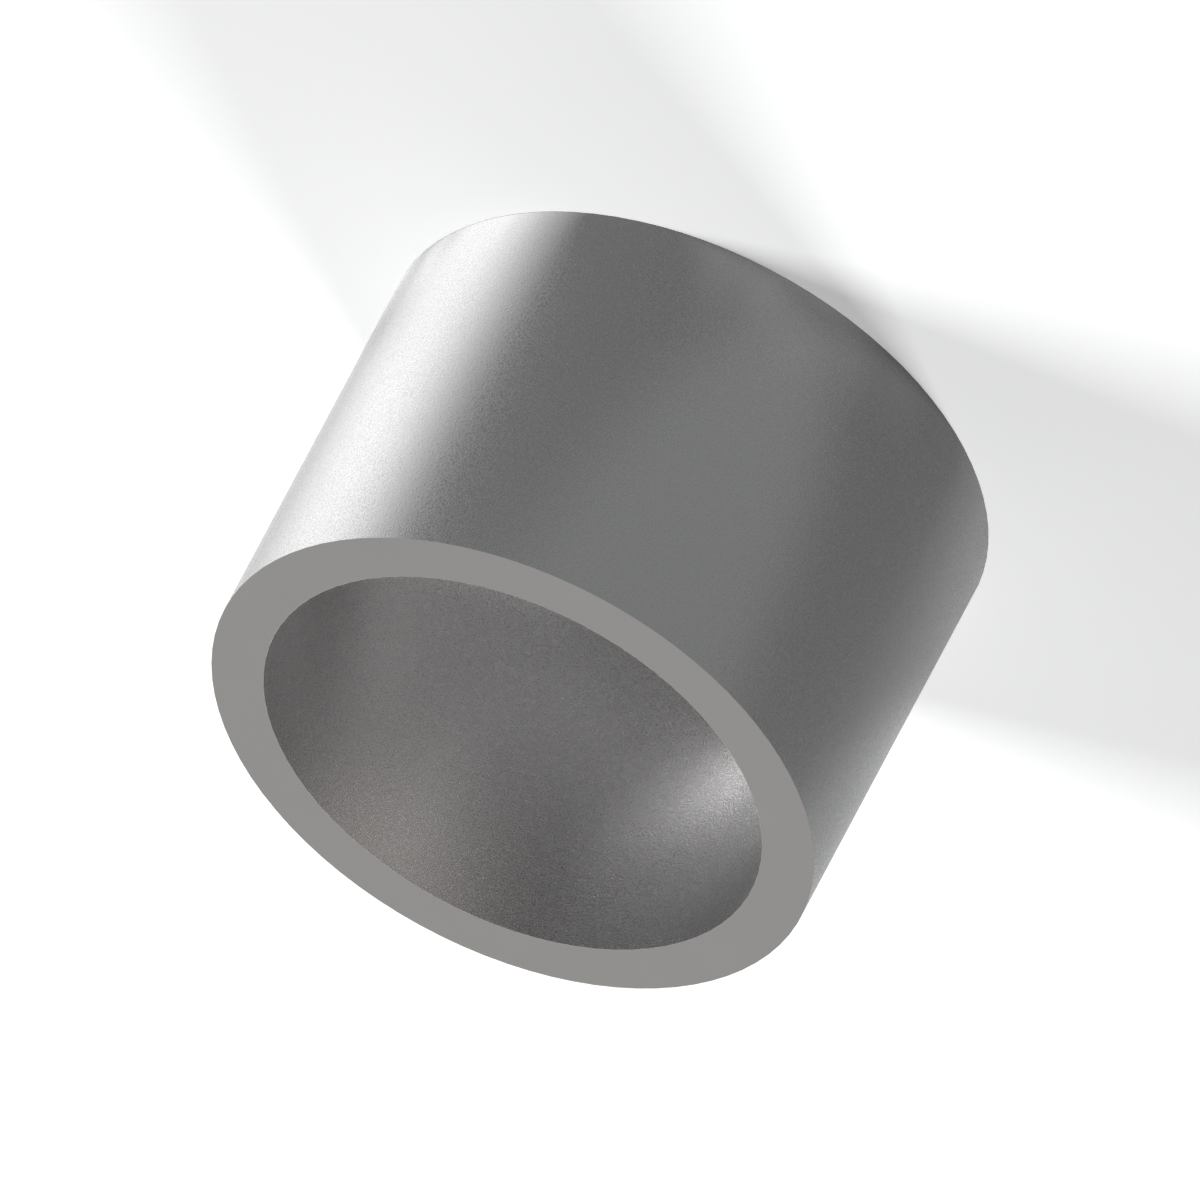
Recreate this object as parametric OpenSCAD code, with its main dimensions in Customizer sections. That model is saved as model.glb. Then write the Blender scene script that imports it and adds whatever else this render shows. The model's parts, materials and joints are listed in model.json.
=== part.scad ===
// Spacer sleeve: a short plain tube that slips over a bolt or shaft and keeps the
// parts on either side of it a set distance apart.
//
// Millimetres. +Z runs along the bore. The origin is the centre of the bottom end
// face, so the sleeve stands on that face.

/* [Sleeve] */

// Diameter of the bore, which slides over a bolt or shaft of this size
bore_d = 12; // [3:0.1:60]

// Thickness of the tube wall
wall = 1.25; // [0.5:0.05:10]

// Length over the two end faces, which is the distance the sleeve keeps
length = 10; // [1:0.1:100]

/* [Hidden] */

// Radius of the bore
bore_r = bore_d / 2;

// Steel grey of the bare turned metal
steel = "#92908e";

$fn = 128;

// Half section of the tube wall, with the radius along X and the height along Y.
// Its corners are square: the rims are sharp, and both end faces are flat.
module wall_section() {
    translate([bore_r, 0])
        square([wall, length]);
}

// The whole sleeve, turned from one piece: its wall section swept round the axis
module sleeve() {
    color(steel)
        rotate_extrude()
            wall_section();
}

sleeve();
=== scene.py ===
"""Spacer sleeve in bare satin steel, standing on a pale floor in soft studio light.

Metres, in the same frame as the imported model: the sleeve stands on Z = 0 with its
bore along +Z. An azimuth is in degrees, with 0 on the camera's side and 90 on +X.
"""

import json
import math

import bpy
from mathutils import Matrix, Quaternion, Vector


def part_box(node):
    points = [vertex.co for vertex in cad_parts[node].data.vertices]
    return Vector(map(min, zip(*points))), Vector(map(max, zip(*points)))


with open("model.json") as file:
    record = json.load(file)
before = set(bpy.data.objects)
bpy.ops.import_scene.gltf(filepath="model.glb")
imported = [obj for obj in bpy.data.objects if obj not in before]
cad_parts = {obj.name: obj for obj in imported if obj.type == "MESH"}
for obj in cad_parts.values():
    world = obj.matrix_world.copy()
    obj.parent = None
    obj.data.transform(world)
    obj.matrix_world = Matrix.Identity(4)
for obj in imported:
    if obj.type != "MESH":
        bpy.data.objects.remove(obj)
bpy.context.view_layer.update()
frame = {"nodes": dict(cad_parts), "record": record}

# The sleeve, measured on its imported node
SLEEVE = frame["nodes"]["sleeve"]
LOW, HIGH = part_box("sleeve")
OUTER_D = HIGH.x - LOW.x
HEIGHT = HIGH.z - LOW.z
CENTRE = Vector((0, 0, HEIGHT / 2))
BORE_R = frame["record"]["mounts"][0]["dims"]["r_mm"] / 1000

# The photograph: an orthographic view past the top end face, rolled in the picture
PHOTO_SIDE_PX = 1200
PHOTO_OUTER_D_PX = 653.5
VIEW_ELEVATION = math.radians(34.84)
VIEW_ROLL = math.radians(-151.85)
CAMERA_DISTANCE = 0.2

# Steel. The walls have a satin grain a little under two pixels of the photograph across, and a pair
# of roughness is for its dark grains and its light ones. The end faces have soft clouds in its
# place. The bore's colours are painted paler than the outside's, a painted lift of light that stands
# in for light the recess doesn't get, so that its tones match the photograph in this light.
OUTSIDE_DARK = (0.214, 0.214, 0.213, 1)
OUTSIDE_LIGHT = (0.226, 0.226, 0.225, 1)
BORE_PAINTED_PALE_DARK = (0.356, 0.351, 0.352, 1)
BORE_PAINTED_PALE_LIGHT = (0.372, 0.367, 0.368, 1)
EDGE_TINT = (0.9, 0.9, 0.9, 1)
OUTSIDE_ROUGH = (0.18, 0.42)
BORE_ROUGH = (0.23, 0.36)
END_ROUGH = (0.26, 0.3)
OUTSIDE_METAL = 1.0
BORE_METAL = 0.8
GRAIN_PER_METRE = 28000
GRAIN_RANGE = (0.3, 0.7)
GRAIN_BUMP = 0.000004
CLOUD_PER_METRE = 900
CLOUD_DETAIL = 3

# The wall of the bore is within this share of its radius from the axis
BORE_REACH = 1.0005
# A wall is where the normal rises less than this, and an end face is elsewhere
WALL_RISE = 0.5

# Floor and backdrop. A glow or a backdrop of 1 is white.
FLOOR_HALF = 0.6
FLOOR_COLOUR = (0.85, 0.85, 0.85, 1)
FLOOR_ROUGH = 0.9
FLOOR_GLOW = 0.22
FLOOR_GLOW_TO_CAMERA = 0.42
BACKDROP = 0.7
WHITE = (1, 1, 1, 1)

# Softboxes: name, azimuth, elevation, side, brightness and colour
BOX_DISTANCE = 0.3
COOL = (0.98, 0.99, 1)
WARM = (1, 0.94, 0.88)
SOFTBOXES = (
    ("back_right", 108, 26, 0.085, 39, COOL),
    ("back_left", 228, 26, 0.09, 27.5, COOL),
    ("behind", 180, 38, 0.12, 0.71, WARM),
)

# Spots on the wall of the bore: name, azimuth, elevation, aim, half width, softness, power
# and colour
SPOT_DISTANCE = 0.15
WARM_TINGE = (1, 0.96, 0.94)
WARM_GLOW = (1, 0.93, 0.88)
SPOTS = (
    ("bore_left", 300, 40, (0.0048, 0.0035, 0.007), 0.0035, 0.004, 2, WARM_TINGE),
    ("bore_wide", 335, 35, (0.0016, 0.0058, 0.008), 0.0035, 0.004, 0.95, WARM_TINGE),
    ("bore_mouth", 335, 35, (0.0013, 0.0058, 0.0108), 0.0036, 0.0015, 1.6, WARM_GLOW),
)

# Light on the floor beside the wall, in rays of an azimuth and a brightness. A line up the wall
# at an azimuth mirrors the ray of that azimuth. Each fan has a name, its rays, their length, the
# share of their brightness that is left at their end, and a layer above the floor.
LAYER = 0.00001
BAND_RAYS = (
    (36, 0),
    (40, 0.75),
    (44, 1.5),
    (48, 2.5),
    (53, 3.35),
    (60, 3.1),
    (67, 1.9),
    (75, 0.4),
    (83, 0.4),
    (92, 0.6),
    (100, 0),
)
FOOT_RAYS = ((20, 0), (10, 0.3), (0, 0.5), (-10, 0.48), (-25, 0.14), (-38, 0))
SIDE_RAYS = ((-46, 0), (-55, 0.2), (-63, 0.3), (-72, 0.18), (-80, 0.1), (-88, 0))
EDGE_RAYS = ((96, 0), (86, 0.9), (76, 0.7), (66, 0))
FANS = (
    ("band", BAND_RAYS, 0.024, 1, 1),
    ("foot", FOOT_RAYS, 0.003, 0, 1),
    ("side", SIDE_RAYS, 0.016, 0, 1),
    ("edge", EDGE_RAYS, 0.0035, 0, 2),
)

# Soft pools of light on the floor in the bore: place, width along X and Y, and brightness. Their
# card is made of squares of POOL_STEP, and has none where the light is below POOL_EDGE.
POOLS = (
    (0.002, 0.00515, 0.001, 0.0007, 6.6),
    (0.00385, 0.0035, 0.001, 0.001, 2.4),
    (0.0051, 0.0005, 0.0008, 0.0015, 1.2),
    (-0.0031, -0.0038, 0.0013, 0.001, 0.75),
    (0.0005, 0, 0.0017, 0.0014, 0.26),
    (-0.0049, 0.0023, 0.0012, 0.0014, 0.45),
)
POOL_STEP = 0.0003
POOL_EDGE = 0.02


def new_node(tree, kind, **settings):
    """A node of this kind with these settings."""
    node = tree.nodes.new(kind)
    for name, value in settings.items():
        setattr(node, name, value)
    return node


def give(tree, socket, value):
    """Links this socket to a value that is a socket itself, and sets it to any other value."""
    if isinstance(value, bpy.types.NodeSocket):
        tree.links.new(value, socket)
    else:
        socket.default_value = value


def mix_colour(tree, factor, low, high):
    """A colour that goes from low to high as the factor goes from 0 to 1. Either may be a socket."""
    mix = new_node(tree, "ShaderNodeMix", data_type="RGBA")
    give(tree, mix.inputs["Factor"], factor)
    give(tree, mix.inputs[6], low)
    give(tree, mix.inputs[7], high)
    return mix.outputs[2]


def map_value(tree, factor, low, high):
    """A number that goes from low to high as the factor goes from 0 to 1. Either may be a socket."""
    node = new_node(tree, "ShaderNodeMapRange")
    give(tree, node.inputs["Value"], factor)
    give(tree, node.inputs["To Min"], low)
    give(tree, node.inputs["To Max"], high)
    return node.outputs["Result"]


def noise(tree, place, per_metre, detail):
    """Solid noise with this many cells to the metre."""
    node = new_node(tree, "ShaderNodeTexNoise", noise_dimensions="3D")
    node.inputs["Scale"].default_value = per_metre
    node.inputs["Detail"].default_value = detail
    tree.links.new(place, node.inputs["Vector"])
    return node.outputs["Fac"]


def bore_mask(tree, place):
    """1 on the wall of the bore and 0 elsewhere, by the distance from the axis."""
    across = new_node(tree, "ShaderNodeVectorMath", operation="MULTIPLY")
    across.inputs[1].default_value = (1, 1, 0)
    radius = new_node(tree, "ShaderNodeVectorMath", operation="LENGTH")
    in_bore = new_node(tree, "ShaderNodeMath", operation="LESS_THAN")
    in_bore.inputs[1].default_value = BORE_R * BORE_REACH
    tree.links.new(place, across.inputs[0])
    tree.links.new(across.outputs["Vector"], radius.inputs[0])
    tree.links.new(radius.outputs["Value"], in_bore.inputs[0])
    return in_bore.outputs["Value"]


def wall_mask(tree, normal):
    """1 on the outside wall and the bore's, and 0 on the flat end faces."""
    facing = new_node(tree, "ShaderNodeSeparateXYZ")
    upright = new_node(tree, "ShaderNodeMath", operation="ABSOLUTE")
    level = new_node(tree, "ShaderNodeMath", operation="LESS_THAN")
    level.inputs[1].default_value = WALL_RISE
    tree.links.new(normal, facing.inputs["Vector"])
    tree.links.new(facing.outputs["Z"], upright.inputs[0])
    tree.links.new(upright.outputs["Value"], level.inputs[0])
    return level.outputs["Value"]


def steel_material():
    """Bare steel: walls with a fine even satin grain, the bore painted paler as a lift of light, and
    smoother end faces.
    """
    material = bpy.data.materials.new("satin_steel")
    material.use_nodes = True
    tree = material.node_tree
    shader = tree.nodes["Principled BSDF"]
    coordinates = new_node(tree, "ShaderNodeTexCoord")
    place = coordinates.outputs["Object"]
    bore = bore_mask(tree, place)
    walls = wall_mask(tree, coordinates.outputs["Normal"])
    grain = noise(tree, place, GRAIN_PER_METRE, 0)
    cloud = noise(tree, place, CLOUD_PER_METRE, CLOUD_DETAIL)

    speck = new_node(tree, "ShaderNodeMapRange")
    speck.inputs["From Min"].default_value, speck.inputs["From Max"].default_value = GRAIN_RANGE
    tree.links.new(grain, speck.inputs["Value"])
    fine = speck.outputs["Result"]

    outside = mix_colour(tree, fine, OUTSIDE_DARK, OUTSIDE_LIGHT)
    # The bore's paler colours are painted light, not a different finish of the steel
    inside = mix_colour(tree, fine, BORE_PAINTED_PALE_DARK, BORE_PAINTED_PALE_LIGHT)
    tree.links.new(mix_colour(tree, bore, outside, inside), shader.inputs["Base Color"])
    tree.links.new(map_value(tree, bore, OUTSIDE_METAL, BORE_METAL), shader.inputs["Metallic"])
    outside = map_value(tree, fine, *OUTSIDE_ROUGH)
    inside = map_value(tree, fine, *BORE_ROUGH)
    satin = map_value(tree, bore, outside, inside)
    smooth = map_value(tree, cloud, *END_ROUGH)
    tree.links.new(map_value(tree, walls, smooth, satin), shader.inputs["Roughness"])
    shader.inputs["Specular Tint"].default_value = EDGE_TINT

    bump = new_node(tree, "ShaderNodeBump")
    bump.inputs["Distance"].default_value = GRAIN_BUMP
    tree.links.new(walls, bump.inputs["Strength"])
    tree.links.new(grain, bump.inputs["Height"])
    tree.links.new(bump.outputs["Normal"], shader.inputs["Normal"])
    return material


def seen_rays(tree):
    """Two masks: 1 for rays from the camera, and 1 for those and the ones off metal or through glass."""
    path = new_node(tree, "ShaderNodeLightPath")
    camera_rays = path.outputs["Is Camera Ray"]
    seen = camera_rays
    for name in ("Is Glossy Ray", "Is Transmission Ray"):
        either = new_node(tree, "ShaderNodeMath", operation="MAXIMUM")
        tree.links.new(seen, either.inputs[0])
        tree.links.new(path.outputs[name], either.inputs[1])
        seen = either.outputs["Value"]
    return camera_rays, seen


def floor_material():
    """Pale matt floor, a little lighter to the eye and in reflections than the lamps make it."""
    material = bpy.data.materials.new("pale_floor")
    material.use_nodes = True
    material.cycles.emission_sampling = "NONE"
    tree = material.node_tree
    shader = tree.nodes["Principled BSDF"]
    shader.inputs["Base Color"].default_value = FLOOR_COLOUR
    shader.inputs["Roughness"].default_value = FLOOR_ROUGH
    shader.inputs["Specular IOR Level"].default_value = 0
    shader.inputs["Emission Color"].default_value = WHITE
    camera_rays, seen = seen_rays(tree)
    glow = map_value(tree, seen, 0, FLOOR_GLOW)
    glow = map_value(tree, camera_rays, glow, FLOOR_GLOW_TO_CAMERA)
    tree.links.new(glow, shader.inputs["Emission Strength"])
    return material


def light_card_material():
    """Gives light upwards by the mesh's own brightness values, and lets other light through."""
    material = bpy.data.materials.new("light_card")
    material.use_nodes = True
    material.cycles.emission_sampling = "FRONT"
    tree = material.node_tree
    tree.nodes.clear()
    values = new_node(tree, "ShaderNodeAttribute", attribute_name="brightness")
    side = new_node(tree, "ShaderNodeNewGeometry")
    light = new_node(tree, "ShaderNodeEmission")
    clear = new_node(tree, "ShaderNodeBsdfTransparent")
    both = new_node(tree, "ShaderNodeAddShader")
    output = new_node(tree, "ShaderNodeOutputMaterial")
    strength = map_value(tree, side.outputs["Backfacing"], values.outputs["Fac"], 0)
    tree.links.new(strength, light.inputs["Strength"])
    tree.links.new(light.outputs["Emission"], both.inputs[0])
    tree.links.new(clear.outputs["BSDF"], both.inputs[1])
    tree.links.new(both.outputs["Shader"], output.inputs["Surface"])
    return material


def add_floor():
    """A flat sheet under the sleeve, which isn't part of it."""
    mesh = bpy.data.meshes.new("floor")
    corners = [(-1, -1), (1, -1), (1, 1), (-1, 1)]
    mesh.from_pydata([(x * FLOOR_HALF, y * FLOOR_HALF, 0) for x, y in corners], [], [(0, 1, 2, 3)])
    mesh.materials.append(floor_material())
    floor = bpy.data.objects.new("floor", mesh)
    bpy.context.scene.collection.objects.link(floor)


def backdrop_world():
    """A pale backdrop that the camera and the metal see, and that gives no other light."""
    world = bpy.data.worlds.new("studio")
    world.use_nodes = True
    tree = world.node_tree
    background = tree.nodes["Background"]
    background.inputs["Color"].default_value = WHITE
    _, seen = seen_rays(tree)
    tree.links.new(map_value(tree, seen, 0, BACKDROP), background.inputs["Strength"])
    bpy.context.scene.world = world


def add_camera():
    """Looks along +Y, down past the top end face, with the picture rolled as in the photograph."""
    data = bpy.data.cameras.new("camera")
    data.type = "ORTHO"
    data.ortho_scale = OUTER_D * PHOTO_SIDE_PX / PHOTO_OUTER_D_PX
    camera = bpy.data.objects.new("camera", data)
    back = Vector((0, -math.cos(VIEW_ELEVATION), math.sin(VIEW_ELEVATION)))
    upright = (-back).to_track_quat("-Z", "Y")
    roll = Quaternion((0, 0, 1), VIEW_ROLL)
    camera.location = CENTRE + back * CAMERA_DISTANCE
    camera.rotation_mode = "QUATERNION"
    camera.rotation_quaternion = upright @ roll
    bpy.context.scene.collection.objects.link(camera)
    bpy.context.scene.camera = camera


def direction(azimuth, elevation):
    """The way from the sleeve at this azimuth and elevation."""
    turn = math.radians(azimuth)
    rise = math.radians(elevation)
    return Vector((math.sin(turn) * math.cos(rise), -math.cos(turn) * math.cos(rise), math.sin(rise)))


def hang_lamp(name, data, aim, away, distance):
    """Puts this lamp at a distance from its aim, and turns it towards the aim."""
    lamp = bpy.data.objects.new(name, data)
    lamp.location = aim + away * distance
    lamp.rotation_mode = "QUATERNION"
    lamp.rotation_quaternion = (-away).to_track_quat("-Z", "Y")
    bpy.context.scene.collection.objects.link(lamp)


def add_softbox(name, azimuth, elevation, side, brightness, colour):
    """A square lamp of this side that faces the sleeve from BOX_DISTANCE away."""
    data = bpy.data.lights.new(name, "AREA")
    data.shape = "SQUARE"
    data.size = side
    data.energy = math.pi * side * side * brightness
    data.color = colour
    hang_lamp(name, data, CENTRE, direction(azimuth, elevation), BOX_DISTANCE)


def add_spot(name, azimuth, elevation, aim, half_width, softness, power, colour):
    """A narrow lamp that lights a disc of this half width around the aim, blurred by its softness."""
    data = bpy.data.lights.new(name, "SPOT")
    data.spot_size = 2 * math.atan(half_width / SPOT_DISTANCE)
    data.spot_blend = 1
    data.shadow_soft_size = softness
    data.energy = power
    data.color = colour
    hang_lamp(name, data, Vector(aim), direction(azimuth, elevation), SPOT_DISTANCE)


def add_light_card(name, corners, faces, values, material, layer):
    """A sheet just above the floor that shines upwards by its corners' values, and isn't seen itself."""
    mesh = bpy.data.meshes.new(name)
    mesh.from_pydata(corners, [], faces)
    if mesh.polygons[0].normal.z < 0:
        mesh.flip_normals()
    attribute = mesh.attributes.new("brightness", "FLOAT", "POINT")
    attribute.data.foreach_set("value", values)
    mesh.materials.append(material)
    card = bpy.data.objects.new(name, mesh)
    card.location.z = layer * LAYER
    card.visible_camera = False
    card.visible_shadow = False
    bpy.context.scene.collection.objects.link(card)


def add_light_fan(name, rays, length, end_share, layer, material):
    """A card of light that spreads from the wall's foot along the rays the outside wall mirrors."""
    corners = []
    values = []
    for azimuth, brightness in rays:
        foot = direction(azimuth, 0) * OUTER_D / 2
        away = direction(2 * azimuth, 0) * length
        corners += [foot, foot + away]
        values += [brightness, brightness * end_share]
    faces = [(first, first + 1, first + 3, first + 2) for first in range(0, len(corners) - 2, 2)]
    add_light_card(name, corners, faces, values, material, layer)


def pool_brightness(x, y):
    """The light at this place on the floor from all the pools, each brightest at its centre."""
    total = 0
    for middle_x, middle_y, width_x, width_y, brightness in POOLS:
        away = ((x - middle_x) / width_x) ** 2 + ((y - middle_y) / width_y) ** 2
        total += brightness * math.exp(-away)
    return total


def add_light_pools(name, radius, material):
    """A card of the pools' light on the floor, inside this radius."""
    count = round(radius / POOL_STEP)
    places = {}
    for column in range(-count, count + 1):
        for row in range(-count, count + 1):
            x = column * POOL_STEP
            y = row * POOL_STEP
            if math.hypot(x, y) <= radius and pool_brightness(x, y) > POOL_EDGE:
                places[column, row] = len(places)
    corners = [(column * POOL_STEP, row * POOL_STEP, 0) for column, row in places]
    faces = []
    for column, row in places:
        square = [(column, row), (column + 1, row), (column + 1, row + 1), (column, row + 1)]
        if all(corner in places for corner in square):
            faces.append([places[corner] for corner in square])
    values = [pool_brightness(x, y) - POOL_EDGE for x, y, _ in corners]
    add_light_card(name, corners, faces, values, material, 1)


steel = steel_material()
for slot in SLEEVE.material_slots:
    slot.material = steel

add_floor()
add_camera()
backdrop_world()

# Soft light from behind
for box in SOFTBOXES:
    add_softbox(*box)

# Light that the walls mirror from the floor
light_card = light_card_material()
for fan in FANS:
    add_light_fan(*fan, light_card)
add_light_pools("bore_pools", BORE_R + POOL_STEP, light_card)

# Light that falls into the bore
for spot in SPOTS:
    add_spot(*spot)

bpy.context.scene.view_settings.view_transform = "Standard"
